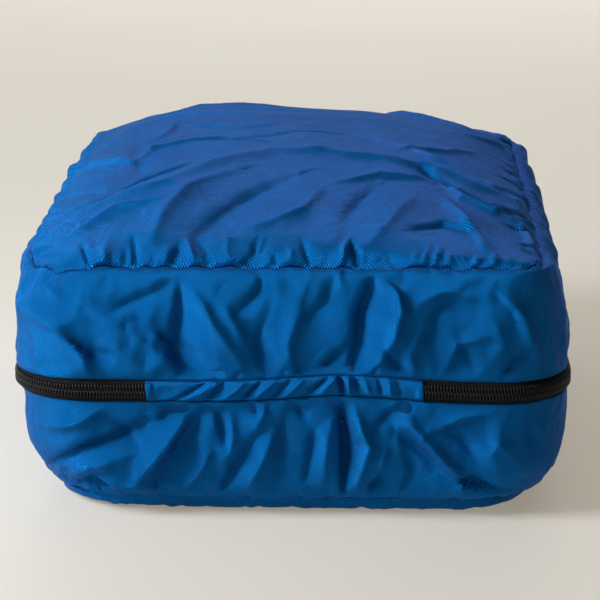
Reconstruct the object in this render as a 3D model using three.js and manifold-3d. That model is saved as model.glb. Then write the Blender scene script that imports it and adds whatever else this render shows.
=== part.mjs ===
// A clamshell packing cube of coated nylon. A zip runs round it, and a fabric strip at the front is its
// hinge. Units are millimetres. +Z is up, the hinge strip faces -Y, the sliders meet at the middle of the
// +Y side, and the origin is the centre of the bottom panel's underside, on the surface that the cube
// rests on.
import * as THREE from "three";
import { mergeVertices } from "three/addons/utils/BufferGeometryUtils.js";
import Module from "manifold-3d";

const wasm = await Module();
wasm.setup();

// Driving dimensions of the filled cube.
const SEAM_WIDTH = 250;
const SEAM_DEPTH = 350;
const SEAM_CORNER = 14;
const BOTTOM_SEAM_Z = 7;
const TOP_SEAM_Z = 124;
const BAND_BULGE = 9.5;
const BAND_CORNER = 36;
const DOME_RISE = 38;
const FABRIC = 1;
const GAP = 0.3;

// How finely the outlines are drawn.
const PANEL_SIDE_STEPS = 6;
const PANEL_CORNER_STEPS = 5;
const BAND_SIDE_STEPS = 2;
const BAND_CORNER_STEPS = 8;

// The zip: a size 5 coil zip, 11 mm of it showing between the two gussets.
const ZIP_Z = 64;
const ZIP_SHOWN = 11;
const CHAIN_SLIT = 1.2;
const COIL_WIDTH = 2.7;
const COIL_HEIGHT = 2.3;
const TAPE = 0.9;
const TAPE_ALLOWANCE = 9.5;
const TAPE_JOG = 0.6;
const HINGE_STRIP_LENGTH = 127;
const ZIP_END_X = HINGE_STRIP_LENGTH / 2 + GAP;

// The seam allowances inside, each wrapped in a binding tape, and the thread that sews them.
const BINDING = 1.2;
const BINDING_WIDTH = 9;
const THREAD = 0.8;
const THREAD_FROM_SEAM = 2.5;
const END_STITCH_HEIGHT = 8;
const END_STITCH_WIDTH = 6;

const NYLON = new THREE.MeshStandardMaterial({ color: 0x1558a0, roughness: 0.5, metalness: 0 });
const BINDING_TAPE = new THREE.MeshStandardMaterial({ color: 0x15181c, roughness: 0.8, metalness: 0 });
const ZIP_TAPE = new THREE.MeshStandardMaterial({ color: 0x121214, roughness: 0.85, metalness: 0 });
const ZIP_COIL = new THREE.MeshStandardMaterial({ color: 0x1a1a1c, roughness: 0.4, metalness: 0 });
const SLIDER_METAL = new THREE.MeshStandardMaterial({ color: 0x17181a, roughness: 0.35, metalness: 0.8 });
const THREAD_BLUE = new THREE.MeshStandardMaterial({ color: 0x123f78, roughness: 0.7, metalness: 0 });

// How far the band has swollen at a height: 0 at the panel seams, 1 halfway between them.
function swell(z) {
  const s = (z - BOTTOM_SEAM_Z) / (TOP_SEAM_Z - BOTTOM_SEAM_Z);
  return Math.sqrt(Math.max(0, 1 - Math.abs(2 * s - 1) ** 3));
}

// The band's rounded-rectangle outline at a height, moved inwards by an inset.
function outlineAt(z, inset) {
  const grown = swell(z);
  return {
    a: SEAM_WIDTH / 2 + BAND_BULGE * grown - inset,
    b: SEAM_DEPTH / 2 + BAND_BULGE * grown - inset,
    r: SEAM_CORNER + (BAND_CORNER - SEAM_CORNER) * grown - inset,
  };
}

// The straight sides and corners of an outline, anticlockwise from the middle of the front (-Y) side.
const SIDES = [
  { nx: 0, ny: -1 },
  { nx: 1, ny: 0 },
  { nx: 0, ny: 1 },
  { nx: -1, ny: 0 },
];

// A station names one place on every outline: a share of a straight side, an angle of a corner, or an x
// on the front.
const onSide = (side, share) => ({ side, share });
const onCorner = (side, turn) => ({ side, turn });
const onFront = (x) => ({ x });

function place(station, { a, b, r }) {
  if (station.x !== undefined) return new THREE.Vector2(station.x, -b);
  const { nx, ny } = SIDES[station.side];
  const tx = -ny;
  const ty = nx;
  const along = nx === 0 ? a - r : b - r;
  const out = nx === 0 ? b : a;
  if (station.share !== undefined)
    return new THREE.Vector2(nx * out + tx * along * station.share, ny * out + ty * along * station.share);
  const c = Math.cos(station.turn);
  const s = Math.sin(station.turn);
  return new THREE.Vector2(
    nx * (out - r) + tx * along + r * (nx * c + tx * s),
    ny * (out - r) + ty * along + r * (ny * c + ty * s),
  );
}

// Stations all the way round: sideSteps along each straight side, cornerSteps round each corner.
function ringStations(sideSteps, cornerSteps) {
  const stations = [];
  SIDES.forEach((_, side) => {
    for (let k = 0; k < sideSteps; k++) stations.push(onSide(side, (2 * k) / sideSteps - 1));
    for (let k = 0; k < cornerSteps; k++) stations.push(onCorner(side, ((Math.PI / 2) * k) / cornerSteps));
  });
  return stations;
}

// Stations from one end of the zip, round the back, to its other end.
function zipStations(sideSteps, cornerSteps, endX) {
  const ring = ringStations(sideSteps, cornerSteps);
  return [onFront(endX), onSide(0, 1), ...ring.slice(sideSteps + 1), onSide(0, -1), onFront(-endX)];
}

function geometryOf(positions, triangles) {
  const geometry = new THREE.BufferGeometry();
  geometry.setAttribute("position", new THREE.Float32BufferAttribute(positions, 3));
  geometry.setIndex(triangles);
  return geometry;
}

// A solid whose section, a closed list of [inset, z], follows the stations. An open run gets an end face
// at each end.
function bandSolid(section, stations, closed) {
  const rows = stations.length;
  const n = section.length;
  const positions = [];
  stations.forEach((station) => {
    section.forEach(([inset, z]) => {
      const p = place(station, outlineAt(z, inset));
      positions.push(p.x, p.y, z);
    });
  });
  const triangles = [];
  for (let i = 0; i < (closed ? rows : rows - 1); i++) {
    const here = i * n;
    const next = ((i + 1) % rows) * n;
    for (let k = 0; k < n; k++) {
      const l = (k + 1) % n;
      triangles.push(here + k, next + k, next + l, here + k, next + l, here + l);
    }
  }
  if (!closed) {
    const outline = section.map(([inset, z]) => new THREE.Vector2(-inset, z));
    const last = (rows - 1) * n;
    for (const [p, q, s] of THREE.ShapeUtils.triangulateShape(outline, [])) {
      triangles.push(p, q, s, last + q, last + p, last + s);
    }
  }
  return geometryOf(positions, triangles);
}

// A section of even thickness that runs up through the given heights, anticlockwise seen from the strip's
// end.
function wallSection(heights, inset, thickness) {
  const outside = heights.map((z) => [inset, z]);
  const inside = heights.map((z) => [inset + thickness, z]);
  return [...outside, ...inside.reverse()];
}

// A fabric panel: rings stepping in from the seam outline, closed by a fan at the middle, FABRIC thick.
function panelSolid(insets, heightAt) {
  const stations = ringStations(PANEL_SIDE_STEPS, PANEL_CORNER_STEPS);
  const n = stations.length;
  const outlines = insets.map((d) => ({
    a: SEAM_WIDTH / 2 - d,
    b: SEAM_DEPTH / 2 - d,
    r: Math.max(SEAM_CORNER - d, 1),
  }));
  const positions = [];
  for (const lift of [FABRIC, 0]) {
    outlines.forEach((outline) => {
      stations.forEach((station) => {
        const p = place(station, outline);
        positions.push(p.x, p.y, heightAt(p.x, p.y) + lift);
      });
    });
    positions.push(0, 0, heightAt(0, 0) + lift);
  }
  const layer = insets.length * n + 1;
  const triangles = [];
  for (let k = 0; k < insets.length; k++) {
    for (let i = 0; i < n; i++) {
      const j = (i + 1) % n;
      const outer = [k * n + i, k * n + j];
      const inner = k + 1 < insets.length ? [(k + 1) * n + i, (k + 1) * n + j] : [layer - 1, layer - 1];
      triangles.push(outer[0], outer[1], inner[1]);
      triangles.push(layer + outer[1], layer + outer[0], layer + inner[1]);
      if (inner[0] !== inner[1]) {
        triangles.push(outer[0], inner[1], inner[0]);
        triangles.push(layer + inner[1], layer + outer[0], layer + inner[0]);
      }
    }
  }
  for (let i = 0; i < n; i++) {
    const j = (i + 1) % n;
    triangles.push(i, layer + i, layer + j, i, layer + j, j);
  }
  return geometryOf(positions, triangles);
}

// The filled top panel rises from its seam in a dome. The bottom panel is flat but for its edge, which
// lifts to its seam.
const DOME_POWER = 3;
const DOME_FULLNESS = 0.7;
const DOME_INSETS = [0, 3, 8, 16, 28, 45, 65, 90, 112];
const BOTTOM_LIFT_REACH = 28;
const BOTTOM_INSETS = [0, 2, 5, 10, 18, 28];

function domeHeight(x, y) {
  const acrossWidth = Math.max(0, 1 - Math.abs(x / (SEAM_WIDTH / 2)) ** DOME_POWER);
  const acrossDepth = Math.max(0, 1 - Math.abs(y / (SEAM_DEPTH / 2)) ** DOME_POWER);
  return TOP_SEAM_Z + DOME_RISE * (acrossWidth * acrossDepth) ** DOME_FULLNESS;
}

function bottomHeight(x, y) {
  const fromSeam = Math.min(SEAM_WIDTH / 2 - Math.abs(x), SEAM_DEPTH / 2 - Math.abs(y));
  const lift = THREE.MathUtils.clamp(1 - fromSeam / BOTTOM_LIFT_REACH, 0, 1);
  return (BOTTOM_SEAM_Z - FABRIC) * lift ** 2;
}

const topPanel = () => panelSolid(DOME_INSETS, domeHeight);
const bottomPanel = () => panelSolid(BOTTOM_INSETS, bottomHeight);

const SHOWN_TOP = ZIP_Z + ZIP_SHOWN / 2;
const SHOWN_BOTTOM = ZIP_Z - ZIP_SHOWN / 2;
const FLANGE_TOP = SHOWN_TOP + TAPE_ALLOWANCE;
const FLANGE_BOTTOM = SHOWN_BOTTOM - TAPE_ALLOWANCE;

// Where the gussets have rings, as distances from their panel seam. The bindings use three of the same
// distances, so they lie flat against the gussets.
const BINDING_RINGS = [5, 9.5, 15];
const GUSSET_RINGS = [GAP, 2, ...BINDING_RINGS, 24, 33];
const belowTop = (distances) => distances.map((d) => TOP_SEAM_Z - d).reverse();
const aboveBottom = (distances) => distances.map((d) => BOTTOM_SEAM_Z + d);
const UPPER_HEIGHTS = [SHOWN_TOP + GAP, FLANGE_TOP, ...belowTop(GUSSET_RINGS)];
const LOWER_HEIGHTS = [...aboveBottom(GUSSET_RINGS), FLANGE_BOTTOM, SHOWN_BOTTOM - GAP];

const ring = ringStations(BAND_SIDE_STEPS, BAND_CORNER_STEPS);
const gusset = (heights) => bandSolid(wallSection(heights, 0, FABRIC), ring, true);

// A zip tape shows between the gusset and the chain, then steps in behind the gusset as its seam
// allowance.
function zipTape(up) {
  const edge = ZIP_Z + (up * CHAIN_SLIT) / 2;
  const shown = up > 0 ? SHOWN_TOP : SHOWN_BOTTOM;
  const flange = up > 0 ? FLANGE_TOP : FLANGE_BOTTOM;
  const behind = FABRIC + GAP;
  const step = shown - up * TAPE_JOG;
  const section = [
    [0, edge],
    [0, shown],
    [behind, shown],
    [behind, flange],
    [behind + TAPE, flange],
    [behind + TAPE, step],
    [TAPE, step],
    [TAPE, edge],
  ];
  if (up < 0) section.reverse();
  return bandSolid(section, zipStations(BAND_SIDE_STEPS, BAND_CORNER_STEPS, ZIP_END_X), false);
}

// One side of the coil chain, sewn to the outside of its tape; its outer edges are eased.
function zipCoil(up) {
  const ease = COIL_HEIGHT / 4;
  const near = ZIP_Z + (up * CHAIN_SLIT) / 2;
  const far = near + up * COIL_WIDTH;
  const out = -(GAP + COIL_HEIGHT);
  const section = [
    [-GAP, near],
    [out + ease, near],
    [out, near + up * ease],
    [out, far - up * ease],
    [out + ease, far],
    [-GAP, far],
  ];
  if (up < 0) section.reverse();
  return bandSolid(section, zipStations(BAND_SIDE_STEPS, BAND_CORNER_STEPS, ZIP_END_X), false);
}

// The fabric strip between the two ends of the zip, which is the cube's hinge.
function hingeStrip() {
  const half = HINGE_STRIP_LENGTH / 2;
  const section = wallSection([SHOWN_BOTTOM, ZIP_Z, SHOWN_TOP], 0, FABRIC);
  return bandSolid(section, [onFront(-half), onFront(0), onFront(half)], false);
}

// Binding tapes fold over the raw seam allowances and lie against the inside of the band.
const BEHIND_GUSSET = FABRIC + 2 * GAP;
const BEHIND_TAPE = FABRIC + TAPE + 2 * GAP;
const panelBinding = (heights) => bandSolid(wallSection(heights, BEHIND_GUSSET, BINDING), ring, true);

function zipBinding(up) {
  const near = up > 0 ? SHOWN_TOP + GAP : SHOWN_BOTTOM - GAP - BINDING_WIDTH;
  return bandSolid(wallSection([near, near + BINDING_WIDTH], BEHIND_TAPE, BINDING), ring, true);
}

// The lock-stitched thread of a panel seam, all the way round behind the gusset's edge.
const seamThread = (z) => bandSolid(wallSection([z, z + THREAD], BEHIND_GUSSET, THREAD), ring, true);

// Stitching across the end of the zip, where the hinge strip is sewn over the tape ends.
function endStitch(sign) {
  const reach = END_STITCH_WIDTH / 2;
  const centre = (sign * HINGE_STRIP_LENGTH) / 2;
  const heights = [ZIP_Z - END_STITCH_HEIGHT / 2, ZIP_Z + END_STITCH_HEIGHT / 2];
  const section = wallSection(heights, FABRIC + GAP, THREAD);
  return bandSolid(section, [onFront(centre - reach), onFront(centre + reach)], false);
}

// Booleans for the metal pieces: closed three.js geometry in, closed three.js geometry out.
function toSolid(geometry) {
  const bare = geometry.clone();
  bare.deleteAttribute("normal");
  bare.deleteAttribute("uv");
  const merged = mergeVertices(bare, 1e-4);
  return new wasm.Manifold(
    new wasm.Mesh({
      numProp: 3,
      vertProperties: merged.attributes.position.array,
      triVerts: new Uint32Array(merged.index.array),
    }),
  );
}

function fromSolid(solid) {
  const mesh = solid.getMesh();
  return geometryOf([...mesh.vertProperties], [...mesh.triVerts]);
}

function block(x0, x1, y0, y1, z0, z1) {
  const box = new THREE.BoxGeometry(x1 - x0, y1 - y0, z1 - z0);
  return toSolid(box.translate((x0 + x1) / 2, (y0 + y1) / 2, (z0 + z1) / 2));
}

// A plate with a drawn outline in X and Z, from y0 to y1.
function plate(shape, y0, y1) {
  const geometry = new THREE.ExtrudeGeometry(shape, { depth: y1 - y0, bevelEnabled: false, curveSegments: 8 });
  return geometry.rotateX(Math.PI / 2).translate(0, y1, 0);
}

// Slider dimensions, measured outwards from the tape's outer face and up from the chain's middle.
const SLIDER_LENGTH = 14;
const SLIDER_WIDTH = 9;
const SLIDER_TAIL_WIDTH = 8;
const SLIDER_PLATE = 1.4;
const CHANNEL_WIDTH = 7.2;
const CHANNEL_TOP = GAP + COIL_HEIGHT + GAP;
const FLANGE_LIP = 0.8;
const SLIDER_CORNER = 2.2;
const WEDGE_THICKNESS = 0.6;
const WEDGE_LENGTH = 4;
const WEDGE_SETBACK = 0.4;
const JOIN = 0.2;
const BAR = 1.2;
const BAR_WIDTH = 2.2;
const BAR_REACH = 4.6;
const BAR_CLEARANCE = 2.6;
const BAR_OUT = CHANNEL_TOP + SLIDER_PLATE + BAR_CLEARANCE;
const BAR_MIDDLE = BAR_OUT + BAR / 2;

// The slider's outline, a shield with its wide nose at -X.
function shieldOutline() {
  const half = SLIDER_WIDTH / 2;
  const tail = SLIDER_TAIL_WIDTH / 2;
  const end = SLIDER_LENGTH / 2;
  const corner = SLIDER_CORNER;
  const shape = new THREE.Shape();
  shape.moveTo(-end + corner, -half);
  shape.lineTo(0, -half);
  shape.lineTo(end - corner, -tail);
  shape.quadraticCurveTo(end, -tail, end, -tail + corner);
  shape.lineTo(end, tail - corner);
  shape.quadraticCurveTo(end, tail, end - corner, tail);
  shape.lineTo(0, half);
  shape.lineTo(-end + corner, half);
  shape.quadraticCurveTo(-end, half, -end, half - corner);
  shape.lineTo(-end, -half + corner);
  shape.quadraticCurveTo(-end, -half, -end + corner, -half);
  return shape;
}

// One slider: two plates joined by the wedge that parts the coils, a lip over the lower tape, and the bar
// that holds its link. It has no lip over the upper tape, so the lid's coil can lift straight out of the
// channel.
function sliderGeometry() {
  const inside = -(TAPE + GAP);
  const end = SLIDER_LENGTH / 2;
  const over = CHANNEL_TOP + SLIDER_PLATE;
  const past = 1;
  const body = toSolid(plate(shieldOutline(), inside - SLIDER_PLATE, over));
  const channel = block(-end - past, end + past, inside, CHANNEL_TOP, -CHANNEL_WIDTH / 2, SLIDER_WIDTH);
  const slot = block(-end - past, end + past, inside, FLANGE_LIP, -SLIDER_WIDTH, 0);
  const wedgeStart = WEDGE_SETBACK - end;
  const wedgeHalf = WEDGE_THICKNESS / 2;
  const wedge = block(
    wedgeStart,
    wedgeStart + WEDGE_LENGTH,
    inside - JOIN,
    CHANNEL_TOP + JOIN,
    -wedgeHalf,
    wedgeHalf,
  );
  const arch = block(-BAR_REACH, BAR_REACH, over - JOIN, BAR_OUT + BAR, -BAR_WIDTH / 2, BAR_WIDTH / 2);
  const window = block(-BAR_REACH + BAR, BAR_REACH - BAR, over, BAR_OUT, -BAR_WIDTH, BAR_WIDTH);
  return fromSolid(body.subtract(channel).subtract(slot).add(wedge).add(arch.subtract(window)));
}

// The wire link hangs on the slider's bar, and the pull tab hangs in the link's lower bend.
const WIRE = 1.2;
const LINK_HALF_WIDTH = 1.9;
const LINK_TOP = 0.4;
const LINK_BOTTOM = -8;
const TAB_WIDTH = 7;
const TAB_LENGTH = 28;
const TAB_THICKNESS = 1.2;
const TAB_MARGIN = 2;
const TAB_SHOULDER = 2;
const TAB_TAPER = 1.2;
const EYE_RADIUS = 1.6;
const SLOT_RADIUS = 1.5;
const SLOT_FROM_FOOT = 4.6;
const SLOT_LENGTH = 10;
const LINK_STEPS = 32;
const LINK_SIDES = 8;

class LinkCurve extends THREE.Curve {
  getPoint(t) {
    const straight = LINK_TOP - LINK_BOTTOM;
    const bend = Math.PI * LINK_HALF_WIDTH;
    let s = (t - Math.floor(t)) * 2 * (straight + bend);
    if (s < bend) return this.bendPoint(LINK_TOP, s / LINK_HALF_WIDTH);
    s -= bend;
    if (s < straight) return new THREE.Vector3(0, -LINK_HALF_WIDTH, LINK_TOP - s);
    s -= straight;
    if (s < bend) return this.bendPoint(LINK_BOTTOM, Math.PI + s / LINK_HALF_WIDTH);
    s -= bend;
    return new THREE.Vector3(0, LINK_HALF_WIDTH, LINK_BOTTOM + s);
  }

  bendPoint(z, angle) {
    return new THREE.Vector3(0, LINK_HALF_WIDTH * Math.cos(angle), z + LINK_HALF_WIDTH * Math.sin(angle));
  }
}

// Round wire of the link, worked out ring by ring along its closed curve.
function linkGeometry() {
  const curve = new LinkCurve();
  const positions = [];
  const triangles = [];
  for (let i = 0; i < LINK_STEPS; i++) {
    const centre = curve.getPoint(i / LINK_STEPS);
    const behind = curve.getPoint((i - 0.5) / LINK_STEPS);
    const ahead = curve.getPoint((i + 0.5) / LINK_STEPS).sub(behind).normalize();
    const outward = new THREE.Vector3(0, ahead.z, -ahead.y);
    const next = ((i + 1) % LINK_STEPS) * LINK_SIDES;
    for (let k = 0; k < LINK_SIDES; k++) {
      const angle = (2 * Math.PI * k) / LINK_SIDES;
      const p = centre.clone().addScaledVector(outward, (WIRE / 2) * Math.cos(angle));
      positions.push(p.x + (WIRE / 2) * Math.sin(angle), p.y, p.z);
      const here = i * LINK_SIDES;
      const l = (k + 1) % LINK_SIDES;
      triangles.push(here + k, next + l, next + k, here + k, here + l, next + l);
    }
  }
  return geometryOf(positions, triangles);
}

// A round-ended hole from one height to another; a plain round one if they are the same.
function roundHole(radius, low, high) {
  const steps = 16;
  const points = [];
  for (let i = 0; i < steps; i++) {
    const angle = (2 * Math.PI * (i + 0.5)) / steps;
    const middle = Math.sin(angle) > 0 ? high : low;
    points.push(new THREE.Vector2(radius * Math.cos(angle), middle + radius * Math.sin(angle)));
  }
  return new THREE.Path(points);
}

// The tab: a flat plate with an eye for the link near its crowned top and a long slot for the grip.
function tabGeometry() {
  const wireZ = LINK_BOTTOM - LINK_HALF_WIDTH;
  const eyeZ = wireZ + WIRE / 2 + GAP - EYE_RADIUS;
  const top = eyeZ + EYE_RADIUS + TAB_MARGIN;
  const shoulder = top - TAB_SHOULDER;
  const foot = top - TAB_LENGTH;
  const half = TAB_WIDTH / 2;
  const neck = half - TAB_TAPER;
  const shape = new THREE.Shape();
  shape.moveTo(-neck, shoulder);
  shape.quadraticCurveTo(0, top + TAB_SHOULDER, neck, shoulder);
  shape.lineTo(half, foot + half);
  shape.quadraticCurveTo(half, foot, 0, foot);
  shape.quadraticCurveTo(-half, foot, -half, foot + half);
  shape.holes.push(
    roundHole(EYE_RADIUS, eyeZ, eyeZ),
    roundHole(SLOT_RADIUS, foot + SLOT_FROM_FOOT, foot + SLOT_FROM_FOOT + SLOT_LENGTH),
  );
  return plate(shape, -TAB_THICKNESS / 2, TAB_THICKNESS / 2);
}

// Turns a geometry's faces outwards if they point in.
function facingOut(geometry) {
  const index = [...geometry.index.array];
  const p = geometry.attributes.position;
  const corner = (i) => new THREE.Vector3().fromBufferAttribute(p, i);
  let volume = 0;
  for (let i = 0; i < index.length; i += 3) {
    volume += corner(index[i]).dot(corner(index[i + 1]).cross(corner(index[i + 2])));
  }
  if (volume < 0) {
    for (let i = 0; i < index.length; i += 3) [index[i], index[i + 1]] = [index[i + 1], index[i]];
    geometry.setIndex(index);
  }
  return geometry;
}

const cube = new THREE.Group();

function add(name, geometry, material, parent = cube) {
  const mesh = new THREE.Mesh(geometry.index ? facingOut(geometry) : geometry, material);
  mesh.name = name;
  parent.add(mesh);
}

add("bottom_panel", bottomPanel(), NYLON);
add("lower_gusset", gusset(LOWER_HEIGHTS), NYLON);
add("lower_zip_tape", zipTape(-1), ZIP_TAPE);
add("lower_zip_coil", zipCoil(-1), ZIP_COIL);
add("hinge_strip", hingeStrip(), NYLON);
add("bottom_seam_binding", panelBinding(aboveBottom(BINDING_RINGS)), BINDING_TAPE);
add("lower_zip_binding", zipBinding(-1), BINDING_TAPE);
add("bottom_seam_thread", seamThread(BOTTOM_SEAM_Z + THREAD_FROM_SEAM), THREAD_BLUE);
add("zip_end_stitch_left", endStitch(-1), THREAD_BLUE);
add("zip_end_stitch_right", endStitch(1), THREAD_BLUE);

add("top_panel", topPanel(), NYLON);
add("upper_gusset", gusset(UPPER_HEIGHTS), NYLON);
add("upper_zip_tape", zipTape(1), ZIP_TAPE);
add("upper_zip_coil", zipCoil(1), ZIP_COIL);
add("top_seam_binding", panelBinding(belowTop(BINDING_RINGS)), BINDING_TAPE);
add("upper_zip_binding", zipBinding(1), BINDING_TAPE);
add("top_seam_thread", seamThread(TOP_SEAM_Z - THREAD_FROM_SEAM - THREAD), THREAD_BLUE);

// The sliders meet nose to nose at the middle of the back; each link and tab hangs from its slider's bar.
const SLIDER_SPACING = 17.2;
const tapeFaceY = outlineAt(ZIP_Z, 0).b;
for (const [side, sign] of [["left", -1], ["right", 1]]) {
  const at = new THREE.Group();
  at.position.set((sign * SLIDER_SPACING) / 2, tapeFaceY, ZIP_Z);
  const slider = sliderGeometry();
  if (sign < 0) slider.scale(-1, 1, 1);
  add(`zip_slider_${side}`, slider, SLIDER_METAL, at);
  add(`pull_link_${side}`, linkGeometry().translate(0, BAR_MIDDLE, 0), SLIDER_METAL, at);
  add(`pull_tab_${side}`, tabGeometry().translate(0, BAR_MIDDLE, 0), SLIDER_METAL, at);
  cube.add(at);
}

export default cube;
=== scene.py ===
"""A filled packing cube of coated nylon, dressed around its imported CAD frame.

The fabric is one bag of panels, cut a little larger than the shape that it covers. It is relaxed over its
stuffing with the seams and the zip held in place, so the spare cloth buckles into puckers and folds. Shapes
are worked out in millimetres and turned to metres when a mesh is made.
"""
import math

import bpy
import numpy as np
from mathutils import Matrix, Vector, noise


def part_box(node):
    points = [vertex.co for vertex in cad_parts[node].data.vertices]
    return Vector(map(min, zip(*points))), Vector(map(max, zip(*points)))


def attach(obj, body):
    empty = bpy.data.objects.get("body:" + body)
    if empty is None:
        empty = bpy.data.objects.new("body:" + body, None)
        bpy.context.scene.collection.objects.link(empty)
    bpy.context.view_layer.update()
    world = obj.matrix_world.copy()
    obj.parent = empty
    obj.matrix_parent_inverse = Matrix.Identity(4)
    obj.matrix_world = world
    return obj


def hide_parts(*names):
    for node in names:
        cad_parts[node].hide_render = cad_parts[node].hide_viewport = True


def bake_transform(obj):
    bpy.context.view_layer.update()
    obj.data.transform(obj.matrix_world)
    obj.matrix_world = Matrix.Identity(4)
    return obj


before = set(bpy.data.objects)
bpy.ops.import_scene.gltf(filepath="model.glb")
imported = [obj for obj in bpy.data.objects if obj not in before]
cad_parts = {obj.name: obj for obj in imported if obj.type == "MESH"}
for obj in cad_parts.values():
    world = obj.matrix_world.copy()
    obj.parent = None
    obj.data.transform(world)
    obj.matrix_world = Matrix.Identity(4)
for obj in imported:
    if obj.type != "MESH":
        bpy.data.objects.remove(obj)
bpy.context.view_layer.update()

METRES = 0.001


def node_box(node):
    """Lowest and highest corner of a CAD node, in millimetres."""
    low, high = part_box(node)
    return np.array(low) / METRES, np.array(high) / METRES


# Driving dimensions, from the frame.
SEAM_A, SEAM_B, _ = node_box("top_panel")[1]
TOP_SEAM_Z = node_box("top_panel")[0][2]
BOTTOM_SEAM_Z = node_box("bottom_panel")[1][2]
BAND_A, BAND_B, _ = node_box("lower_gusset")[1]
STRIP_LOW, STRIP_HIGH = node_box("hinge_strip")
ZIP_LOW, ZIP_HIGH = STRIP_LOW[2], STRIP_HIGH[2]
ZIP_Z = (ZIP_LOW + ZIP_HIGH) / 2
STRIP_HALF = STRIP_HIGH[0]
DOME_RISE = node_box("top_panel")[1][2] - TOP_SEAM_Z

# Corner radii of the outline at the top seam, halfway down and at the bottom seam, how far in from its seam
# the bottom panel starts to turn up, and how far it stays off the floor.
TOP_CORNER = 14
BAND_CORNER = 36
BOTTOM_CORNER = 40
BOTTOM_TURN = 11
FLOOR_GAP = 0.6

# The cloth grid: the size of a cell, the cells along the width and the depth, and those up the band below, in
# and above the zip. Each is cut into FINE cells each way once the coarse cloth has relaxed.
CELL = 4
CELLS_X = 62
CELLS_Y = 88
CELLS_LOWER = 14
CELLS_ZIP = 3
CELLS_UPPER = 14
FINE = 3

# How the cloth lies: how much longer than its shape it is cut, how softly it is held down, the depth and
# width of its folds as shares of those in the lists of folds, a fold's reach on its steep and gentle sides,
# how sharp a crease has to be to stay, and how strongly and how far creases are brought out at the end.
EASE = 1.004
TOP_EASE = 1.012
STUFFING_GIVE = 0.12
FOLD_DEPTH = 1.35
FOLD_WIDTH = 0.7
STEEP, GENTLE = 0.6, 1.4
CREASE_KEPT = 0.3
CRISPNESS = 0.45
CRISP_REACH = 3

# The cut and the sewing. EDGE_ROWS are the places of the extra rows of a mesh beside a sewn edge, in cells.
CLOTH = 0.45
SEAM_GROOVE = 2.6
SEAM_WIDTH = 1.6
SEAM_ALLOWANCE = 9
HEM_FOLD = 1.1
HEM_WIDTH = 7
EDGE_ROWS = (0, 0.25, 0.55)

# The hinge strip's mesh, the depth and width of its tucks as shares of those in the list of tucks, and how
# far it goes past the zip's ends and turns under at its long edges.
STRIP_COLUMNS = 240
STRIP_ROWS = 27
TUCK_DEPTH = 1.6
TUCK_WIDTH = 0.7
STRIP_OVERLAP = 2.5
STRIP_TURN_UNDER = 1.6

# The zip that shows between the hems, and a tape's section: (distance from the coil's middle, height) where
# it shows, and (distance behind the gusset's hem, depth) where it doesn't.
ZIP_SHOWN = 11
TAPE_THICK = 0.8
TAPE_SHOWN = [(0.5, 0), (2.5, 0), (4.3, -0.1)]
TAPE_HIDDEN = [(0.0, 1.4), (2.5, 2.0), (5.5, 2.0), (9.0, 2.0)]

# The coil: one loop of its wire as (distance from the zip's middle, height), and the wire's share at each.
COIL_PITCH = 1.5
COIL_WIRE = 0.36
COIL_LOOP = [(3.25, 0.25), (3.15, 1.35), (2.5, 1.95), (1.2, 2.05), (0.1, 1.85), (-0.35, 1.15), (0.1, 0.45)]
COIL_SWELL = [0.8, 1, 1, 1, 1.15, 1.2, 0.9]
COIL_LEAN = 0.16
WIRE_SIDES = 5

# The bindings inside, each at a distance from its seam and at a depth behind the cloth, and their stitches.
# A stitch's profile is (place along it, thickness), both as shares.
BINDING_THICK = 0.9
BINDING_ROWS = 5
ZIP_BINDING, ZIP_BINDING_DEPTH = (4, 13), 3.8
SEAM_BINDING, SEAM_BINDING_DEPTH = (1.5, 10.5), 2.6
STITCH_LENGTH = 2.6
STITCH_GAP = 0.6
STITCH_THREAD = 0.28
STITCH_DEPTH = 1.05
STITCH_PROFILE = [(-0.5, 0.15), (-0.3, 0.9), (0, 1.1), (0.3, 0.9), (0.5, 0.15)]

# The zigzag that holds each end of the zip.
ZIGZAG_TURNS = 14
ZIGZAG_HEIGHT = 8
ZIGZAG_HALF_WIDTH = 1.1
ZIGZAG_DEPTH = 1.2
ZIGZAG_THREAD = 0.3

# The rounding of the painted zinc's edges.
EASED_EDGE = 0.15


# ---- The stuffed shape that the cloth lies on ----

def smooth(low, high, x):
    """0 below low, 1 above high, and an even S between."""
    t = np.clip((x - low) / (high - low), 0, 1)
    return t * t * (3 - 2 * t)


def bump(distance, width):
    """1 at no distance, fading to nothing over about twice the width."""
    return np.exp(-((distance / width) ** 2))


def swell(z):
    """How far the band has swollen at a height: 0 at the panel seams, 1 halfway between them."""
    s = (z - BOTTOM_SEAM_Z) / (TOP_SEAM_Z - BOTTOM_SEAM_Z)
    return np.sqrt(np.maximum(0, 1 - np.abs(2 * s - 1) ** 3))


def side_path(t, half, corner):
    """Place on one side of a rounded rectangle, from the middle of one corner to the middle of the next.

    t runs from 0 to 1. It returns the distance along the side from its middle, and how far in from its line.
    """
    straight = half - corner
    arc = corner * math.pi / 4
    run = (np.asarray(t) * 2 - 1) * (straight + arc)
    turn = np.clip((np.abs(run) - straight) / corner, 0, math.pi / 4)
    along = np.where(turn > 0, straight + corner * np.sin(turn), np.abs(run)) * np.sign(run)
    return along, corner * (1 - np.cos(turn))


def outline(a, b, corner, cells_x, cells_y):
    """The rounded rectangle at one height: points anticlockwise from the front left corner and back to it."""
    tx = np.arange(cells_x) / cells_x
    ty = np.arange(cells_y) / cells_y
    along_x, in_x = side_path(tx, a, corner)
    along_y, in_y = side_path(ty, b, corner)
    sides = [
        np.stack([along_x, -b + in_x], -1),
        np.stack([a - in_y, along_y], -1),
        np.stack([-along_x, b - in_x], -1),
        np.stack([-a + in_y, -along_y], -1),
    ]
    ring = np.concatenate(sides)
    return np.concatenate([ring, ring[:1]])


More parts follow.
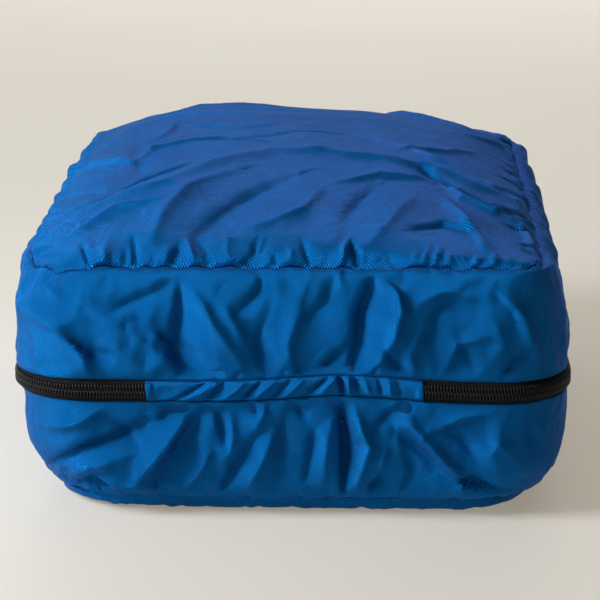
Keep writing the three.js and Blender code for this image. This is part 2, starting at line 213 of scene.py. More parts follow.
def panel_from_outline(ring, cells_x, cells_y):
    """Fills a panel's grid from its outline, each row and column bending with the sides (a Coons patch)."""
    front = ring[: cells_x + 1]
    right = ring[cells_x : cells_x + cells_y + 1]
    back = ring[cells_x + cells_y : 2 * cells_x + cells_y + 1][::-1]
    left = ring[2 * cells_x + cells_y :][::-1]
    u = np.linspace(0, 1, cells_x + 1)[None, :, None]
    v = np.linspace(0, 1, cells_y + 1)[:, None, None]
    across = (1 - v) * front[None] + v * back[None]
    along = (1 - u) * left[:, None] + u * right[:, None]
    corners = (
        (1 - u) * (1 - v) * front[0]
        + u * (1 - v) * front[-1]
        + (1 - u) * v * back[0]
        + u * v * back[-1]
    )
    return across + along - corners


def band_heights(scale):
    lower = np.linspace(BOTTOM_SEAM_Z, ZIP_LOW, CELLS_LOWER * scale + 1)
    middle = np.linspace(ZIP_LOW, ZIP_HIGH, CELLS_ZIP * scale + 1)
    upper = np.linspace(ZIP_HIGH, TOP_SEAM_Z, CELLS_UPPER * scale + 1)
    return np.concatenate([lower, middle[1:-1], upper])


def sag(points):
    """Bends the regular shape into the one that the filled cube has: leaning, and slack in places."""
    x, y, z = points[..., 0], points[..., 1], points[..., 2]
    moved = points.copy()
    half_height = swell(np.clip(z, BOTTOM_SEAM_Z, TOP_SEAM_Z))
    left = smooth(-40, -125, x)
    front = smooth(60, -150, y)
    moved[..., 0] += 3.5 * half_height - 1.5
    # The lower half is a little narrower on the left, and its front corner there is slack and tucks in.
    moved[..., 0] += 4.0 * left * smooth(70, 52, z)
    tuck = left * front * smooth(36, 6, z)
    moved[..., 0] += 7 * tuck
    moved[..., 1] += 5 * tuck
    # The lower right side is packed full, but draws in below.
    moved[..., 0] -= 3 * smooth(40, 125, x) * smooth(30, 6, z)
    # The top seam is pinched in and down at its left front corner.
    notch = smooth(98, 124, z) * smooth(-92, -122, x) * smooth(-140, -172, y)
    moved[..., 0] += 5.5 * notch
    moved[..., 1] += 3 * notch
    moved[..., 2] -= 3.6 * notch + 1.2 * smooth(98, 124, z) * left * front
    # The zip band rises over the pleat in the hinge strip.
    band = bump(z - ZIP_Z, 13)
    moved[..., 2] += 4.2 * band * bump(x - 26, 36) * smooth(-140, -175, y)
    return moved


def band_core(scale):
    """Places on the stuffing under each point of the band, row by row from the bottom seam up."""
    rows = []
    for z in band_heights(scale):
        grown = swell(z)
        seam_corner = TOP_CORNER if z > ZIP_Z else BOTTOM_CORNER
        ring = outline(
            SEAM_A + (BAND_A - SEAM_A) * grown,
            SEAM_B + (BAND_B - SEAM_B) * grown,
            seam_corner + (BAND_CORNER - seam_corner) * grown,
            CELLS_X * scale,
            CELLS_Y * scale,
        )
        rows.append(np.concatenate([ring, np.full((len(ring), 1), z)], 1))
    return sag(np.array(rows))


def seam_panel(scale, corner):
    ring = outline(SEAM_A, SEAM_B, corner, CELLS_X * scale, CELLS_Y * scale)
    return panel_from_outline(ring, CELLS_X * scale, CELLS_Y * scale)


def top_core(scale):
    """The filled top: a long slope up from the front seam to a broad crown that falls away at the back."""
    flat = seam_panel(scale, TOP_CORNER)
    x, y = flat[..., 0], flat[..., 1]
    across = np.maximum(0, 1 - np.abs(x / SEAM_A) ** 2.7)
    depth = np.maximum(0, 1 - np.abs((y - 12) / (SEAM_B + 12 * np.sign(12 - y))) ** 2.5)
    z = TOP_SEAM_Z + (DOME_RISE - 6) * (across * depth) ** 0.68 * (1 - 0.0014 * x)
    return sag(np.concatenate([flat, z[..., None]], -1))


def bottom_core(scale):
    """The bottom panel lies flat on the surface and turns up to its seam."""
    flat = seam_panel(scale, BOTTOM_CORNER)
    x, y = flat[..., 0], flat[..., 1]
    from_corner = BOTTOM_CORNER - np.hypot(
        np.maximum(0, np.abs(x) - SEAM_A + BOTTOM_CORNER), np.maximum(0, np.abs(y) - SEAM_B + BOTTOM_CORNER)
    )
    from_seam = np.minimum(from_corner, np.minimum(SEAM_A - np.abs(x), SEAM_B - np.abs(y)))
    turn = np.clip(1 - from_seam / BOTTOM_TURN, 0, 1)
    z = FLOOR_GAP + (BOTTOM_SEAM_Z - FLOOR_GAP) * (1 - np.sqrt(1 - turn**2))
    return sag(np.concatenate([flat, z[..., None]], -1))


def normals_of(points, flip=1):
    """Unit normals of an open grid of points."""
    du = np.gradient(points, axis=1)
    dv = np.gradient(points, axis=0)
    n = np.cross(du, dv) * flip
    return n / np.maximum(np.linalg.norm(n, axis=-1, keepdims=True), 1e-9)


# ---- Folds ----
# Each is (line of points, height, width). Lines are in (x, z) on the front, drawn upwards, and in (x, y) on
# the top, drawn to the right. A height below 0 is a crease. A fold is steep on the side away from the window
# and gentle on the other.

FRONT_FOLDS = [
    # Upper half, left of the strip's middle.
    ([(-93, 72), (-97, 83), (-108, 95), (-122, 101)], 3.4, 7),
    ([(-84, 79), (-95, 85), (-106, 92)], -3.4, 5),
    ([(-63, 72), (-74, 81), (-86, 91)], 1.8, 7),
    ([(-52, 76), (-52, 90), (-49, 104), (-49, 115)], -3.4, 6),
    ([(-21, 79), (-30, 93), (-38, 105), (-43, 113)], 3.6, 7),
    ([(-44, 72), (-52, 82), (-58, 92)], -2.4, 5),
    ([(-18, 87), (-23, 97), (-29, 107)], 2.2, 6),
    ([(-8, 74), (-12, 86), (-10, 98)], -2.0, 5),
    ([(4, 74), (2, 88), (8, 104)], 2.0, 8),
    # Upper half, right of it.
    ([(33, 76), (35, 90), (37, 104), (43, 119)], -5.0, 6),
    ([(42, 74), (52, 90), (56, 104), (54, 112), (46, 119)], 4.2, 7),
    ([(18, 75), (23, 80), (29, 86)], -2.6, 4),
    ([(62, 74), (60, 84), (66, 96)], 1.8, 6),
    ([(69, 88), (74, 104), (88, 115)], -1.8, 8),
    ([(120, 79), (113, 101), (102, 114)], 2.4, 6),
    ([(90, 75), (86, 84), (83, 92)], -1.2, 5),
    ([(98, 78), (104, 88), (100, 100)], 1.4, 7),
    ([(-50, 72), (-64, 87), (-88, 102), (-96, 109)], 1.9, 4),
    ([(-36, 73), (-52, 88), (-70, 98)], -1.8, 4),
    ([(-80, 104), (-66, 110), (-52, 117)], -1.6, 5),
    ([(-104, 108), (-112, 112), (-120, 110)], 1.8, 4),
    ([(-20, 104), (-12, 112), (-10, 119)], -2.0, 4),
    ([(10, 98), (20, 108), (24, 118)], -1.8, 5),
    ([(58, 72), (52, 79), (47, 86)], -2.0, 3.4),
    ([(76, 76), (82, 88), (96, 92)], 1.6, 4),
    ([(64, 108), (76, 113), (92, 110)], 1.6, 4),
    ([(105, 72), (110, 80), (118, 84)], -2.0, 4),
    ([(100, 112), (108, 104), (112, 92)], -1.6, 4),
    # Lower half, left.
    ([(-113, 23), (-99, 34), (-81, 41), (-65, 49)], -4.4, 5),
    ([(-104, 18), (-92, 26), (-78, 30)], 2.4, 7),
    ([(-72, 18), (-58, 36), (-47, 52)], 3.6, 7),
    ([(-61, 18), (-50, 37), (-39, 54)], -3.6, 7),
    ([(-28, 34), (-31, 48), (-33, 55)], -2.8, 4),
    ([(-27, 30), (-25, 42), (-26, 52)], 2.4, 5),
    ([(-30, 13), (-22, 28), (-13, 42)], -3.0, 5),
    ([(-18, 14), (-10, 30), (-6, 44)], 2.6, 6),
    ([(-5, 18), (-2, 34), (0, 50)], -2.8, 6),
    ([(-98, 15), (-92, 17), (-85, 14)], -3.6, 3),
    ([(-88, 20), (-76, 16), (-62, 14)], 2.4, 5),
    ([(-112, 44), (-98, 48), (-86, 56)], 1.8, 4),
    ([(-88, 52), (-76, 44), (-70, 34)], -1.6, 4),
    ([(-48, 14), (-40, 24), (-36, 34)], 2.0, 4),
    ([(-60, 50), (-54, 56), (-50, 60)], -2.2, 3.4),
    ([(-14, 46), (-10, 54), (-12, 60)], 2.2, 3.4),
    ([(10, 50), (6, 56), (2, 60)], -2.2, 3.4),
    # Lower half, right. The deep one is the fold that runs down from the pleat in the hinge strip.
    ([(11, 18), (12, 30), (14, 44)], -2.6, 5),
    ([(19, 18), (20, 34), (22, 50)], 2.2, 6),
    ([(29, 15), (29, 30), (28, 46), (27, 62)], -6.0, 3.6),
    ([(36, 16), (41, 38), (33, 57)], 4.2, 6),
    ([(46, 24), (49, 36)], 2.6, 5),
    ([(43, 13), (47, 20)], -2.6, 4),
    ([(86, 16), (83, 25), (69, 40), (57, 54)], 4.6, 6),
    ([(78, 20), (66, 34), (54, 44)], -3.6, 6),
    ([(104, 13), (95, 16), (85, 20)], -3.8, 3.2),
    ([(118, 22), (108, 34), (98, 46)], 1.8, 9),
    ([(124, 34), (118, 44), (120, 54)], -1.6, 7),
    ([(58, 14), (62, 24), (58, 34)], -2.0, 4),
    ([(74, 46), (84, 52), (96, 54)], 1.8, 4),
    ([(92, 30), (88, 38), (78, 46)], -2.0, 4),
    ([(44, 46), (50, 54), (60, 60)], -2.2, 3.6),
    ([(104, 24), (100, 34), (104, 44)], 1.4, 5),
]

TOP_FOLDS = [
    # The long arch where the top turns down towards the front seam.
    ([(-114, -140), (-90, -124), (-59, -110), (-32, -80), (-10, -60), (14, -53)], 3.2, 13),
    ([(6, -53), (36, -57), (71, -60), (92, -73), (112, -77), (122, -52)], 2.6, 9),
    ([(72, -67), (86, -100), (101, -112), (124, -90)], 2.4, 5),
    ([(66, -62), (82, -84), (100, -94), (122, -92)], -3.2, 5),
    ([(46, -8), (73, -40), (102, -64), (122, -46)], 1.8, 6),
    # The hollow under its left half, and the slack either side.
    ([(-41, -172), (-43, -158), (-24, -126), (2, -92)], -3.0, 11),
    ([(-65, -164), (-59, -140), (-49, -116), (-28, -94)], 2.6, 9),
    ([(-126, -4), (-100, -36), (-83, -55), (-57, -8)], 1.8, 7),
    ([(-124, -60), (-92, -104), (-78, -82), (-88, 20)], -1.6, 9),
    ([(77, -112), (84, -129), (98, -166)], 2.2, 6),
    ([(28, -148), (34, -120), (44, -98)], -2.4, 9),
    ([(42, -163), (52, -140), (62, -112)], 2.0, 10),
    ([(104, -112), (114, -118), (121, -148)], 2.0, 5),
    ([(92, 69), (106, 80), (120, 99)], 2.2, 6),
    ([(-100, 40), (-60, 52), (-20, 44)], 1.8, 12),
    ([(-70, 96), (-20, 84), (30, 92)], -1.8, 12),
    ([(20, 40), (56, 44), (92, 30)], -1.4, 10),
    ([(-108, 120), (-84, 96), (-70, 60)], -2.0, 7),
    ([(-90, 160), (-60, 120), (-20, 110)], 2.0, 9),
    ([(40, 160), (62, 128), (100, 116)], 2.2, 8),
    ([(70, 162), (84, 140), (114, 132)], -2.4, 6),
    # Thin creases that cross them.
    ([(-120, -120), (-96, -112), (-64, -88), (-36, -66)], -1.6, 3.6),
    ([(-104, -150), (-84, -132), (-60, -128)], 1.4, 4),
    ([(-78, -40), (-44, -30), (-8, -34)], 1.2, 3.6),
    ([(-30, -20), (6, 4), (40, 6)], -1.2, 4),
    ([(20, -100), (44, -84), (72, -80)], 1.6, 4),
    ([(-10, -150), (8, -136), (16, -112)], 1.4, 5),
    ([(52, -30), (80, -10), (96, 24)], 1.4, 4),
    ([(-60, 20), (-30, 8), (-6, 24)], -1.4, 5),
    ([(60, -150), (76, -140), (92, -146)], -1.8, 4),
    ([(-90, -30), (-70, -4), (-66, 34)], 1.4, 4),
]


def stroke(points_2d, line, width, rises):
    """How strongly a fold is felt at each point: 1 on its line, fading over its width and at its ends."""
    line = np.array(line, float)
    nearest = np.full(points_2d.shape[:-1], 1e9)
    where = np.zeros(points_2d.shape[:-1])
    on_right = np.zeros(points_2d.shape[:-1], bool)
    lengths = np.linalg.norm(np.diff(line, axis=0), axis=1)
    start = 0.0
    for (p, q), length in zip(zip(line[:-1], line[1:]), lengths):
        t = np.clip(((points_2d - p) @ (q - p)) / length**2, 0, 1)
        offset = points_2d - (p + t[..., None] * (q - p))
        away = np.linalg.norm(offset, axis=-1)
        closer = away < nearest
        nearest = np.where(closer, away, nearest)
        where = np.where(closer, start + t * length, where)
        turned = (q - p)[0] * offset[..., 1] - (q - p)[1] * offset[..., 0]
        on_right = np.where(closer, turned < 0, on_right)
        start += length
    taper = np.sin(math.pi * np.clip(0.1 + 0.8 * where / start, 0, 1)) ** 0.8
    reach = width * np.where(on_right == rises, STEEP, GENTLE)
    round_off = 0.5 + width**2 / 60
    return np.exp(-(np.sqrt(nearest**2 + round_off**2) - round_off) / reach) * taper


def folds_on(points_2d, folds):
    """Sum of the folds' heights at each point."""
    total = np.zeros(points_2d.shape[:-1])
    for line, height, width in folds:
        total += FOLD_DEPTH * height * stroke(points_2d, line, FOLD_WIDTH * width, height > 0)
    return total


def crumple(points, size, seed):
    """Creases of handled cloth, about -1 to 1: rounded facets of a size along each axis, meeting in lines."""
    total = np.zeros(points.shape[:-1])
    shift = np.random.default_rng(seed).uniform(-60, 60, 3)
    flat = points.reshape(-1, 3) / np.array(size) + shift
    for octave in (0, 1):
        values = np.array([noise.noise(p) for p in (flat * 2.1**octave).tolist()])
        total += (1 - 3.4 * np.abs(values)).reshape(total.shape) * 0.5**octave
    return total


def gathers(columns, rows, cell, seed, spacing, depth, reach):
    """Small tucks beside a gathered seam, as heights over [distance from the seam, place along it]."""
    draw = np.random.default_rng(seed)
    around = columns * cell
    along = np.arange(columns)[None] * cell
    down = np.arange(rows)[:, None] * cell
    field = np.zeros((rows, columns))
    place = 0.0
    while place < around:
        place += spacing * draw.uniform(0.4, 1.7)
        height = depth * draw.uniform(0.3, 1.4) * draw.choice((-1, -1, 0.8))
        width = draw.uniform(0.9, 2.1)
        length = reach * draw.uniform(0.4, 1.5)
        lean = draw.uniform(-0.45, 0.45)
        away = np.abs((along - place - lean * down + around / 2) % around - around / 2)
        shape = np.exp(-(np.sqrt(away**2 + 0.25) - 0.5) / width)
        field += height * shape * smooth(length, 0, down)
    return field * (1 - np.exp(-down / 1.1))


# ---- The cloth ----

class Cloth:
    """A grid of cloth points over its core, with the lengths that the cut pattern gives its threads."""

    def __init__(self, core, flip, spare, lift, hold, cell):
        self.core = core.astype(np.float32)
        self.normal = normals_of(core, flip).astype(np.float32)
        self.lift = lift.astype(np.float32)
        self.hold = hold.astype(np.float32)
        self.crease = CREASE_KEPT * cell
        self.p = self.target()
        self.rest = [np.linalg.norm(np.diff(self.p, axis=axis), axis=-1) * spare for axis in (0, 1)]

    def target(self):
        return self.core + self.normal * self.lift[..., None]

    def threads(self, give=0.9, push=0.55):
        """Pulls neighbours to their thread's length. Cloth resists stretching more than shortening."""
        for axis in (0, 1):
            p, rest = np.moveaxis(self.p, axis, 0), np.moveaxis(self.rest[axis], axis, 0)
            for start in (0, 1):
                near, far = p[start:-1:2], p[start + 1 :: 2]
                d = far - near
                length = np.sqrt(np.einsum("ijk,ijk->ij", d, d)) + 1e-9
                gap = length - rest[start::2]
                move = (0.5 * np.where(gap > 0, give, push) * gap / length)[..., None] * d
                near += move
                far -= move

    def bend(self, stiffness):
        """Cloth evens out its gentle curves, and keeps its creases."""
        for axis in (0, 1):
            p = np.moveaxis(self.p, axis, 0)
            d = p[2:] + p[:-2] - 2 * p[1:-1]
            sharp = np.einsum("ijk,ijk->ij", d, d) / self.crease**2
            d *= (stiffness / 6 / (1 + sharp))[..., None]
            p[1:-1] += 2 * d
            p[2:] -= d
            p[:-2] -= d

    def skew(self, stiffness):
        """The weave resists skewing: each cell's two diagonals stay near the same length."""
        a, b = self.p[:-1, :-1], self.p[1:, 1:]
        c, d = self.p[1:, :-1], self.p[:-1, 1:]
        ab, cd = b - a, d - c
        la = np.sqrt(np.einsum("ijk,ijk->ij", ab, ab))[..., None] + 1e-9
        lc = np.sqrt(np.einsum("ijk,ijk->ij", cd, cd))[..., None] + 1e-9
        excess = (la - lc) * (stiffness / 8)
        push_ab = ab / la * excess
        push_cd = cd / lc * excess
        move = np.zeros_like(self.p)
        move[:-1, :-1] += push_ab
        move[1:, 1:] -= push_ab
        move[1:, :-1] -= push_cd
        move[:-1, 1:] += push_cd
        self.p += move

    def rest_on_core(self, pressure, firm, soft):
        """The stuffing pushes the cloth out, firmly where it is pressed in and softly where it stands off."""
        off = np.einsum("ijk,ijk->ij", self.p - self.core, self.normal) - self.lift
        push = pressure - np.where(off < 0, firm, soft) * off
        self.p += self.normal * (push * (1 - self.hold))[..., None]
        self.p += (self.target() - self.p) * self.hold[..., None]


def zip_side_gathers(columns, cell, seed):
    """Tucks beside the zip, strongest next to the hinge strip."""
    corner = CELLS_X * CELL / cell
    front_x = np.interp(np.arange(columns), [0, corner], [-SEAM_A, SEAM_A])
    near_strip = smooth(STRIP_HALF + 12, STRIP_HALF - 18, np.abs(front_x))
    near_strip[int(corner) + 1 :] = 0
    field = gathers(columns, int(16 / cell), cell, seed, spacing=7, depth=1.3, reach=10)
    return field * (0.25 + 1.25 * near_strip)


def make_band(scale):
    """The cloth of both gussets and of the zip between them."""
    core = band_core(scale)
    rows, columns = core.shape[:2]
    cell = CELL / scale
    z = band_heights(scale)[:, None] * np.ones((1, columns))
    front = smooth(-120, -160, core[..., 1])
    lift = folds_on(core[..., [0, 2]], FRONT_FOLDS) * front
    leaning = core.copy()
    leaning[..., 0] += 0.35 * core[..., 2]
    leaning[..., 1] += 0.35 * core[..., 2]
    lift += 2.0 * crumple(leaning, (34, 34, 90), 3) * (1 - 0.8 * front)
    lift += 0.45 * crumple(core, (17, 17, 30), 4)
    lift -= lift.mean()
    from_seam = np.minimum(z - BOTTOM_SEAM_Z, TOP_SEAM_Z - z)
    from_zip = np.abs(z - ZIP_Z) - (ZIP_HIGH - ZIP_Z)
    lift *= smooth(0, 8, from_seam) * smooth(-1, 5, from_zip)
    low_seam = gathers(columns, int(20 / cell), cell, seed=11, spacing=8, depth=0.9, reach=9)
    high_seam = gathers(columns, int(20 / cell), cell, seed=12, spacing=9, depth=1.2, reach=10)
    lift[: len(low_seam)] += low_seam
    lift[-len(high_seam) :] += high_seam[::-1]
    low_zip = zip_side_gathers(columns, cell, 13)
    high_zip = zip_side_gathers(columns, cell, 14)
    low, high = CELLS_LOWER * scale, (CELLS_LOWER + CELLS_ZIP) * scale
    lift[low - len(low_zip) + 1 : low + 1] += low_zip[::-1]
    lift[high : high + len(high_zip)] += high_zip
    hold = np.where(from_zip < 1, 0.6, 0) + 0.3 * bump(from_seam, 1.0)
    cloth = Cloth(core, 1, EASE, lift, hold, cell)
    # Every row is cut as long as the ones beside the zip, so the seams gather it.
    widest = cloth.rest[1][low].astype(float)
    cloth.rest[1][:] = np.maximum(cloth.rest[1], widest * EASE)
    return cloth


def add_ring(lift, ring_field):
    """Adds heights given over [distance from the seam, place round it] to a panel's four sides."""
    rows, columns = lift.shape
    depth = len(ring_field)
    at = np.cumsum([0, columns - 1, rows - 1, columns - 1, rows - 1])
    sides = [ring_field[:, start : end + 1] for start, end in zip(at[:-1], at[1:])]
    views = [lift, lift.T[::-1], lift[::-1, ::-1], lift.T[:, ::-1]]
    for view, side in zip(views, sides):
        count = side.shape[1]
        place = np.minimum(np.arange(count), count - 1 - np.arange(count))
        view[:depth] += side * smooth(0, depth, place)[None]


def make_panel(core, flip, scale, folds, seed, spare, rough, gathered):
    """The top or bottom cloth. rough is its crumples' height, and gathered its seam tucks' strength."""
    x, y = core[..., 0], core[..., 1]
    cell = CELL / scale
    lift = folds_on(core[..., :2], folds)
    lift += rough * crumple(core, (78, 50, 60), seed)
    lift += 0.25 * rough * crumple(core, (40, 22, 30), seed + 1)
    from_seam = np.minimum(SEAM_A - np.abs(x), SEAM_B - np.abs(y))
    lift = (lift - lift.mean()) * smooth(0, 10, from_seam)
    columns = 2 * (CELLS_X + CELLS_Y) * scale + 1
    for more, inwards, spacing, depth, reach in ((2, 28, 6.0, 2.7, 15), (3, 10, 3.2, 1.3, 5)):
        rows = int(inwards / cell)
        add_ring(lift, gathers(columns, rows, cell, seed + more, spacing, depth * gathered, reach))
    return Cloth(core, flip, spare, lift, np.zeros_like(x), cell)


def ring_of(panel):
    """A panel's edge, anticlockwise from the front left corner and back to it."""
    return np.concatenate([panel[0, :-1], panel[:-1, -1], panel[-1, :0:-1], panel[::-1, 0]])


def sew(band, top, bottom):
    """Brings the edges that are sewn together back together, and closes the band on itself."""
    closed = (band.p[:, 0] + band.p[:, -1]) / 2
    band.p[:, 0] = closed
    band.p[:, -1] = closed
    for row, panel in ((-1, top), (0, bottom)):
        middle = (band.p[row] + ring_of(panel.p)) / 2
        middle[0] = middle[-1] = (middle[0] + middle[-1]) / 2
        band.p[row] = middle
        nx, ny = panel.p.shape[1] - 1, panel.p.shape[0] - 1
        panel.p[0, :] = middle[: nx + 1]
        panel.p[:, -1] = middle[nx : nx + ny + 1]
        panel.p[-1, :] = middle[nx + ny : 2 * nx + ny + 1][::-1]
        panel.p[:, 0] = middle[2 * nx + ny :][::-1]


def relax(cloths, rounds, bend, pressure):
    """Lets the three cloths settle together on their stuffing."""
    for _ in range(rounds):
        for cloth in cloths:
            cloth.rest_on_core(pressure, 0.3, STUFFING_GIVE)
            cloth.threads()
            cloth.bend(bend)
            cloth.skew(0.3)
        sew(*cloths)
        for cloth in cloths:
            cloth.p[..., 2] = np.maximum(cloth.p[..., 2], FLOOR_GAP)


def resample(grid, places, axis=0):
    """The grid at fractional places along one axis."""
    g = np.moveaxis(grid, axis, 0)
    low = np.clip(np.floor(places).astype(int), 0, len(g) - 2)
    t = (np.asarray(places) - low).reshape(-1, *([1] * (g.ndim - 1)))
    return np.moveaxis(g[low] * (1 - t) + g[low + 1] * t, 0, axis)


def resample_both(grid, rows, columns):
    """The grid at fractional rows and columns."""
    return resample(resample(grid, rows), columns, 1)


def refined(grid, rows, columns):
    """The same field on a finer grid."""
    last_row, last_column = grid.shape[0] - 1, grid.shape[1] - 1
    return resample_both(grid, np.linspace(0, last_row, rows), np.linspace(0, last_column, columns))


def make_cloths(scale):
    band = make_band(scale)
    top = make_panel(top_core(scale), 1, scale, TOP_FOLDS, seed=21, spare=TOP_EASE, rough=0.7, gathered=1.0)
    bottom = make_panel(bottom_core(scale), -1, scale, [], seed=31, spare=EASE, rough=0.4, gathered=0.35)
    return band, top, bottom


def simulate():
    """Relaxes the cloth on the coarse grid, then on the fine one."""
    coarse = make_cloths(1)
    relax(coarse, rounds=120, bend=0.1, pressure=0.05)
    fine = make_cloths(FINE)
    for old, new in zip(coarse, fine):
        new.p = new.p + refined(old.p - old.target(), *new.p.shape[:2]).astype(np.float32)
    relax(fine, rounds=45, bend=0.016, pressure=0.04)
    return fine


# ---- Meshes ----

def mesh_object(name, points, faces, uvs=None, around=0):
    """A smooth mesh object from points in millimetres. uvs has one pair for each point, also in millimetres.

    around is the length of a grid that closes on itself, so that the cloth's pattern runs on across the join.
    """
    mesh = bpy.data.meshes.new(name)
    points = np.asarray(points, float).reshape(-1, 3)
    mesh.from_pydata((points * METRES).tolist(), [], np.asarray(faces).tolist())
    if uvs is not None:
        layer = mesh.uv_layers.new(name="cloth")
        corners = np.empty(len(mesh.loops), np.int32)
        mesh.loops.foreach_get("vertex_index", corners)
        flat = np.asarray(uvs, float).reshape(-1, 2)[corners].reshape(-1, 4, 2)
        if around:
            u = flat[..., 0]
            across_join = (u.max(axis=1) - u.min(axis=1) > around / 2)[:, None]
            u[across_join & (u < around / 2)] += around
        layer.data.foreach_set("uv", (flat * METRES).astype(np.float32).ravel())
    mesh.polygons.foreach_set("use_smooth", np.ones(len(mesh.polygons), bool))
    piece = bpy.data.objects.new(name, mesh)
    bpy.context.scene.collection.objects.link(piece)
    return piece


def grid_faces(rows, columns, around=False, start=0, flip=False):
    """Faces of a grid of points. around closes its columns into a ring."""
    i = np.arange(rows - 1)[:, None]
    j = np.arange(columns if around else columns - 1)[None, :]
    k = (j + 1) % columns
    quads = np.stack([i * columns + j, i * columns + k, (i + 1) * columns + k, (i + 1) * columns + j], -1)
    quads = quads.reshape(-1, 4) + start
    return quads[:, ::-1] if flip else quads


def uv_grid(along, across):
    return np.stack(np.meshgrid(along, across), -1)


def thicken(piece, thickness):
    """Gives a sheet its thickness, behind its face."""
    modifier = piece.modifiers.new("thickness", "SOLIDIFY")
    modifier.thickness = thickness * METRES
    modifier.offset = -1
    return piece


def unit(vectors):
    """The same directions at unit length."""
    return vectors / np.maximum(np.linalg.norm(vectors, axis=-1, keepdims=True), 1e-9)


def spread(ring, reach):
    """Evens out a closed ring of vectors over its neighbours."""
    total = sum(np.roll(ring, k, axis=0) for k in range(-reach, reach + 1))
    return total / (2 * reach + 1)


def distances(path):
    """How far along a path each of its points is."""
    return np.concatenate([[0], np.cumsum(np.linalg.norm(np.diff(path, axis=0), axis=1))])


def with_edge_rows(count, low=True, high=True):
    """Row places for count cells, with extra rows close to the sewn edges."""
    places = list(range(count + 1))
    if low:
        places = list(EDGE_ROWS) + places[1:]
    if high:
        places = places[:-1] + [count - e for e in EDGE_ROWS[::-1]]
    return np.array(places, float)


def blurred(grid, axis, closed):
    """The mean of each point's neighbours along one axis."""
    widths = [(0, 0)] * 3
    widths[axis] = (CRISP_REACH, CRISP_REACH)
    padded = np.pad(grid, widths, mode="wrap" if closed else "edge")
    shifts = range(2 * CRISP_REACH + 1)
    return sum(np.take(padded, np.arange(grid.shape[axis]) + k, axis=axis) for k in shifts) / len(shifts)


def crisp(grid, closed=False):
    """Brings out the creases, as stiff coated cloth has them, and leaves the sewn edges where they are."""
    even = blurred(blurred(grid, 0, False), 1, closed)
    rows, columns = np.arange(grid.shape[0]), np.arange(grid.shape[1])
    from_edge = np.minimum(rows, rows[::-1])[:, None] * np.ones(len(columns))
    if not closed:
        from_edge = np.minimum(from_edge, np.minimum(columns, columns[::-1])[None])
    return grid + (grid - even) * (CRISPNESS * smooth(1, 6, from_edge))[..., None]


def band_normals(grid):
    """Normals of a grid whose columns close into a ring, not yet of unit length."""
    du = np.roll(grid, -1, axis=1) - np.roll(grid, 1, axis=1)
    return np.cross(du, np.gradient(grid, axis=0))


class Bag:
    """The relaxed cloth, and what the trimmings need to know about it."""

    def __init__(self, band, top, bottom):
        self.scale = (band.p.shape[1] - 1) // (2 * (CELLS_X + CELLS_Y))
        self.cell = CELL / self.scale
        self.low = CELLS_LOWER * self.scale
        self.high = (CELLS_LOWER + CELLS_ZIP) * self.scale
        relaxed = band.p[:, :-1].astype(float)
        halves = [crisp(part, closed=True) for part in (relaxed[: self.low + 1], relaxed[self.high :])]
        self.band = np.concatenate([halves[0], relaxed[self.low + 1 : self.high], halves[1]])
        self.out = unit(band_normals(self.band))
        self.top = crisp(top.p.astype(float))
        self.bottom = crisp(bottom.p.astype(float))
        self.columns = self.band.shape[1]
        self.around = self.columns * self.cell
        self.nx = CELLS_X * self.scale
        top_out = ring_of(normals_of(self.top))
        bottom_out = ring_of(normals_of(self.bottom, -1))
        self.into_top = -unit(top_out[:-1] + self.out[-1])
        self.into_bottom = -unit(bottom_out[:-1] + self.out[0])

    def zip_line(self):
        """Centre of the zip and its frame, for every column: place, along, out and up."""
        middle = (self.low + self.high) / 2
        centre = spread(resample(self.band, [middle])[0], 2 * self.scale)
        along = unit(np.roll(centre, -1, axis=0) - np.roll(centre, 1, axis=0))
        out = resample(self.out, [middle])[0]
        out[:, 2] = 0
        out = spread(unit(out), 3 * self.scale)
        out = unit(out - along * np.sum(out * along, axis=1, keepdims=True))
        return centre, along, out, np.cross(along, out)

    def front_column(self, x):
        """The fractional column where the zip line crosses x on the front side."""
        centre = self.zip_line()[0][: self.nx + 1, 0]
        return float(np.interp(x, centre, np.arange(self.nx + 1)))


def panel_piece(bag, name, grid, into, up):
    """A sewn panel, dipping into its seam all round, with its allowance turned in behind the band."""
    rows, columns = grid.shape[:2]
    at_rows = with_edge_rows(rows - 1)
    at_columns = with_edge_rows(columns - 1)
    fine = resample_both(grid, at_rows, at_columns)
    into_grid = panel_from_outline(np.concatenate([into, into[:1]]), columns - 1, rows - 1)
    into_fine = resample_both(into_grid, at_rows, at_columns)
    row_edge = np.minimum(at_rows, rows - 1 - at_rows) * bag.cell
    column_edge = np.minimum(at_columns, columns - 1 - at_columns) * bag.cell
    from_seam = np.minimum(row_edge[:, None], column_edge[None, :])
    fine = fine + into_fine * (SEAM_GROOVE * np.exp(-from_seam / SEAM_WIDTH))[..., None]
    uvs = uv_grid(at_columns * bag.cell, at_rows * bag.cell)
    faces = grid_faces(len(at_rows), len(at_columns), flip=up < 0)
    seam = -1 if up > 0 else 0
    ring, out = bag.band[seam] + into * SEAM_GROOVE, bag.out[seam]
    turned = [ring]
    for inwards, down in ((1.0, 1.2), (1.6, SEAM_ALLOWANCE - 1)):
        turned.append(ring - out * inwards - [0, 0, down * up])
    turned = np.stack(turned)
    first = fine.shape[0] * fine.shape[1]
    turned_faces = grid_faces(3, len(ring), around=True, start=first, flip=up > 0)
    turned_uvs = uv_grid(np.arange(len(ring)) * bag.cell, [0, 1.4, SEAM_ALLOWANCE])
    points = np.concatenate([fine.reshape(-1, 3), turned.reshape(-1, 3)])
    all_uvs = np.concatenate([uvs.reshape(-1, 2), turned_uvs.reshape(-1, 2)])
    piece = mesh_object(name, points, np.concatenate([faces, turned_faces]), all_uvs, bag.around)
    return thicken(piece, CLOTH)


